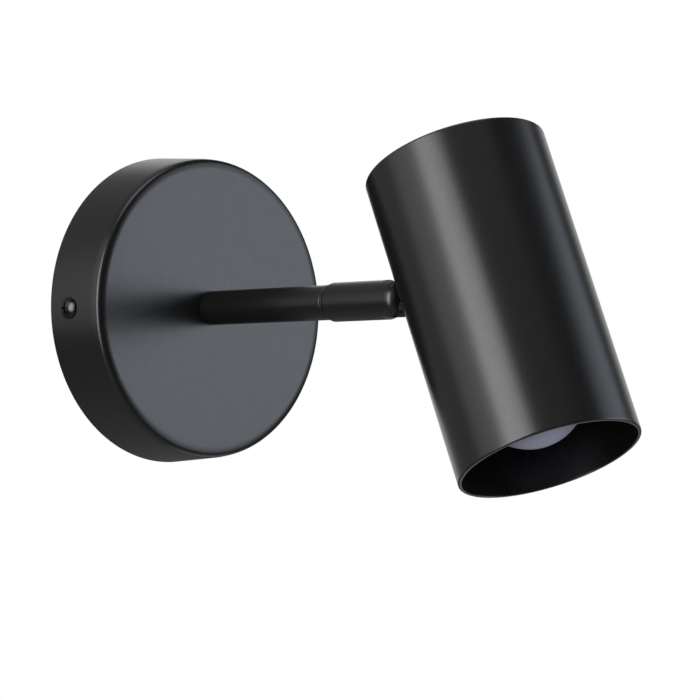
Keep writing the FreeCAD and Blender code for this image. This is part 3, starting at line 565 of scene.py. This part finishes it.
# The side draws in towards the front and bends more in its last 3 mm. The front's outer zone
# falls away slightly before the round.
CANOPY_WALL = 1.2
CANOPY_HOLE = 4.15
canopy_radius, canopy_back, canopy_front = turned_size("canopy")
canopy_inside = canopy_front - CANOPY_WALL
canopy_shell = turned_mesh("canopy_shell", [
    (canopy_radius, canopy_back, 0.1), (canopy_radius - 1.22, canopy_front - 3.1, 14),
    (canopy_radius - 1.6, canopy_front - 0.645, 1.5), (canopy_radius - 3.8, canopy_front, 7),
    (CANOPY_HOLE, canopy_front, 0), (CANOPY_HOLE, canopy_inside, 0),
    (canopy_radius - 2.6, canopy_inside, 0.6), (canopy_radius - CANOPY_WALL, canopy_back, 0.1),
], ARM_SEAT, turns=256)
canopy_shell.data.materials.append(black_coat)
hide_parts("canopy")
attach(canopy_shell, "base")

# ------------------------------------------------------------------ side screws
# Two M3 pan head screws in black oxide, with a cross recess. They go through the canopy's
# side into the bracket's tabs.

black_oxide = plated_metal("black_oxide", (0.035, 0.035, 0.037), (0.06, 0.06, 0.062), 0.16, 0.24)
dress(["canopy_side_screws"], black_oxide)

# ------------------------------------------------------------------ nipple and its fixings
# A threaded steel nipple holds the arm to the canopy with a locknut over a toothed washer. A
# black moulded bush in its mouth keeps the leads off the metal edge.

black_bush = moulded("black_bush", (0.045, 0.045, 0.047), (0.03, 0.03, 0.03), 0.3, 0.45)
dress(["arm_nipple", "nipple_lock_washer", "nipple_locknut"], zinc_plate)
dress(["nipple_cable_bush"], black_bush)

# ------------------------------------------------------------------ arm
# A straight steel tube, coated with the canopy, butted against it and screwed on the nipple.
# Its outer end is eased, which shows as a thin light line.

ARM_BORE = 4
arm_radius, arm_start, arm_end = turned_size("arm_tube")
arm_sleeve = turned_mesh("arm_sleeve", [
    (ARM_BORE, arm_start, 0), (arm_radius, arm_start, 0), (arm_radius, arm_end, 0.4),
    (ARM_BORE, arm_end, 0),
], ARM_SEAT, turns=128)
arm_sleeve.data.materials.append(black_coat)
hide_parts("arm_tube")
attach(arm_sleeve, "base")

# ------------------------------------------------------------------ arm collar
# A turned collar pressed into the arm's end, a hair slimmer than the arm. A thin friction ring
# shows as a dark seam between it and the swivel.

COLLAR_BORE = 3.05
SEAM_EASE = 0.3         # the collar stops this far short, and the seam shows the more for it
collar_radius, collar_start, collar_seat = turned_size("arm_collar")
collar_end = collar_seat - SEAM_EASE
collar = turned_mesh("collar", [
    (COLLAR_BORE, collar_start, 0), (ARM_BORE, collar_start, 0), (ARM_BORE, arm_end, 0),
    (collar_radius, arm_end, 0), (collar_radius, collar_end, 0.12), (COLLAR_BORE, collar_end, 0),
], ARM_SEAT, turns=128)
collar.data.materials.append(black_coat)
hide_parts("arm_collar")
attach(collar, "base")

fibre = moulded("fibre", (0.03, 0.03, 0.03), (0.05, 0.05, 0.05), 0.6, 0.8)
dress(["swivel_friction_ring"], fibre)

# ------------------------------------------------------------------ swivel
# A turned steel barrel with a fork slot milled through its rounded end. The slot's walls get a
# paler grey, painted light that lifts the shade inside the slot. It turns on a hollow stud,
# which a spring washer pulls against the collar.

SLOT_REACH = 0.0031     # half the slot's width in metres, and a hair
WALL_FACING = 0.95
# Painted light: a paler grey on the slot's walls stands in for light bounced into the slot's
# shade.
SLOT_LIGHT_GREY = (0.05, 0.05, 0.052, 1)
tilt_joint = next(joint for joint in frame["joints"] if joint["name"] == "head_tilt")
pin_axis = tilt_joint["axis"]


def along_pin(nodes, links, source):
    """The size of an object-space vector's component along the hinge pin."""
    dot = nodes.new("ShaderNodeVectorMath")
    dot.operation = "DOT_PRODUCT"
    dot.inputs[1].default_value = pin_axis
    links.new(source, dot.inputs[0])
    size = nodes.new("ShaderNodeMath")
    size.operation = "ABSOLUTE"
    links.new(dot.outputs["Value"], size.inputs[0])
    return size.outputs["Value"]


def passes(nodes, links, value, operation, limit):
    """A mask that is 1 where the value is less or greater than the limit."""
    test = nodes.new("ShaderNodeMath")
    test.operation = operation
    test.inputs[1].default_value = limit
    links.new(value, test.inputs[0])
    return test.outputs["Value"]


def paint_slot_light(finish):
    """Mixes a paler grey into a coat on the walls of the fork slot, as painted light in the slot's
    shade.
    """
    nodes, links = finish.node_tree.nodes, finish.node_tree.links
    shader = nodes["Principled BSDF"]
    place = nodes.new("ShaderNodeTexCoord")
    slot_light_mask = nodes.new("ShaderNodeMath")
    slot_light_mask.operation = "MULTIPLY"
    near_slot = passes(nodes, links, along_pin(nodes, links, place.outputs["Object"]),
                       "LESS_THAN", SLOT_REACH)
    slot_wall = passes(nodes, links, along_pin(nodes, links, place.outputs["Normal"]),
                       "GREATER_THAN", WALL_FACING)
    links.new(near_slot, slot_light_mask.inputs[0])
    links.new(slot_wall, slot_light_mask.inputs[1])
    slot_light_tone = nodes.new("ShaderNodeMix")
    slot_light_tone.data_type = "RGBA"
    slot_light_tone.inputs["B"].default_value = SLOT_LIGHT_GREY
    links.new(slot_light_mask.outputs["Value"], slot_light_tone.inputs["Factor"])
    links.new(shader.inputs["Base Color"].links[0].from_socket, slot_light_tone.inputs["A"])
    links.new(slot_light_tone.outputs["Result"], shader.inputs["Base Color"])


swivel_coat = powder_coat("swivel_coat", **SATIN_BLACK)
# The fork slot's walls get painted light, a paler grey over their shade.
paint_slot_light(swivel_coat)
dress(["swivel_body"], swivel_coat)
dress(["swivel_stud", "swivel_spring_washer"], zinc_plate)

# ------------------------------------------------------------------ hinge
# A steel cross pin in the fork's cheeks, a fibre friction washer inside each cheek, and the
# head's stem with its eye between them.

dress(["hinge_pin"], black_oxide)
dress(["hinge_friction_washers"], fibre)
matt_coat = powder_coat("matt_coat", deep=(0.005, 0.005, 0.0053), worn=(0.008, 0.008, 0.0085),
                        smooth=0.50, rough=0.58, depth=6e-6)
matt_coat.node_tree.nodes["Principled BSDF"].inputs["Specular IOR Level"].default_value = 0.3
dress(["hinge_stem", "stem_outer_saddle"], matt_coat)
dress(["stem_inner_saddle", "stem_nut"], zinc_plate)

# ------------------------------------------------------------------ head tube
# A steel tube open at the mouth, with its edges eased before coating. The stem's stud goes
# through its wall between two curved saddles and holds it with a nut.

HEAD_TILT = radians(24.1)
HEAD_REACH = 0.039      # metres from the hinge pin to the tube's axis
TUBE_RADIUS = 28.5
TUBE_BORE = 27.3
TUBE_DOWN = 72.1
TUBE_UP = 28.1

swivel_turn = -asin(pin_axis[2])
pin_place = Vector(tilt_joint["pos_m"])
head_offset = Vector((0, -HEAD_REACH * cos(HEAD_TILT), HEAD_REACH * sin(HEAD_TILT)))
HEAD_SEAT = (
    Matrix.Rotation(swivel_turn, 4, "Y")
    @ Matrix.Translation(pin_place + head_offset)
    @ Matrix.Rotation(-HEAD_TILT, 4, "X")
    @ CAD_MM
)
spot_tube_skin = turned_mesh("spot_tube_skin", [
    (TUBE_BORE, -TUBE_DOWN, 0.3), (TUBE_RADIUS, -TUBE_DOWN, 0.6), (TUBE_RADIUS, TUBE_UP, 0.6),
    (TUBE_BORE, TUBE_UP, 0),
], HEAD_SEAT, turns=256)
spot_tube_skin.data.materials.append(black_coat)
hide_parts("spot_tube")
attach(spot_tube_skin, "head")

# ------------------------------------------------------------------ rear cap
# A round cap cut from 1.5 mm steel sheet, pressed flush into the tube's upper end and coated
# with it.

dress(["rear_cap"], black_coat)

# ------------------------------------------------------------------ lampholder
# A ceramic two-pin holder, hung from the stem by a bent steel strap and two screws, with its
# two leads.

ceramic = moulded("ceramic", (0.78, 0.76, 0.70), (0.70, 0.67, 0.60), 0.45, 0.62)
dress(["lampholder"], ceramic)
dress(["lampholder_strap", "lampholder_screws"], zinc_plate)
dress(["live_head_lead"], brown_insulation)
dress(["neutral_head_lead"], blue_insulation)

# ------------------------------------------------------------------ lamp
# A two-pin spot lamp: dark grey tapered housing, white base, plated pins, a white circuit
# board and a domed opal diffuser that shows in the mouth. The light is off.

lamp_shell = moulded("lamp_shell", (0.16, 0.16, 0.17), (0.12, 0.12, 0.125), 0.4, 0.55)
lamp_white = moulded("lamp_white", (0.78, 0.78, 0.77), (0.70, 0.70, 0.69), 0.4, 0.55)
white_board = moulded("white_board", (0.84, 0.85, 0.82), (0.76, 0.77, 0.73), 0.18, 0.3)
opal = moulded("opal", (0.39, 0.39, 0.52), (0.35, 0.35, 0.47), 0.45, 0.6)
dress(["lamp_housing"], lamp_shell)
dress(["lamp_base"], lamp_white)
dress(["lamp_pins"], zinc_plate)
dress(["led_board"], white_board)
dress(["lamp_diffuser"], opal)
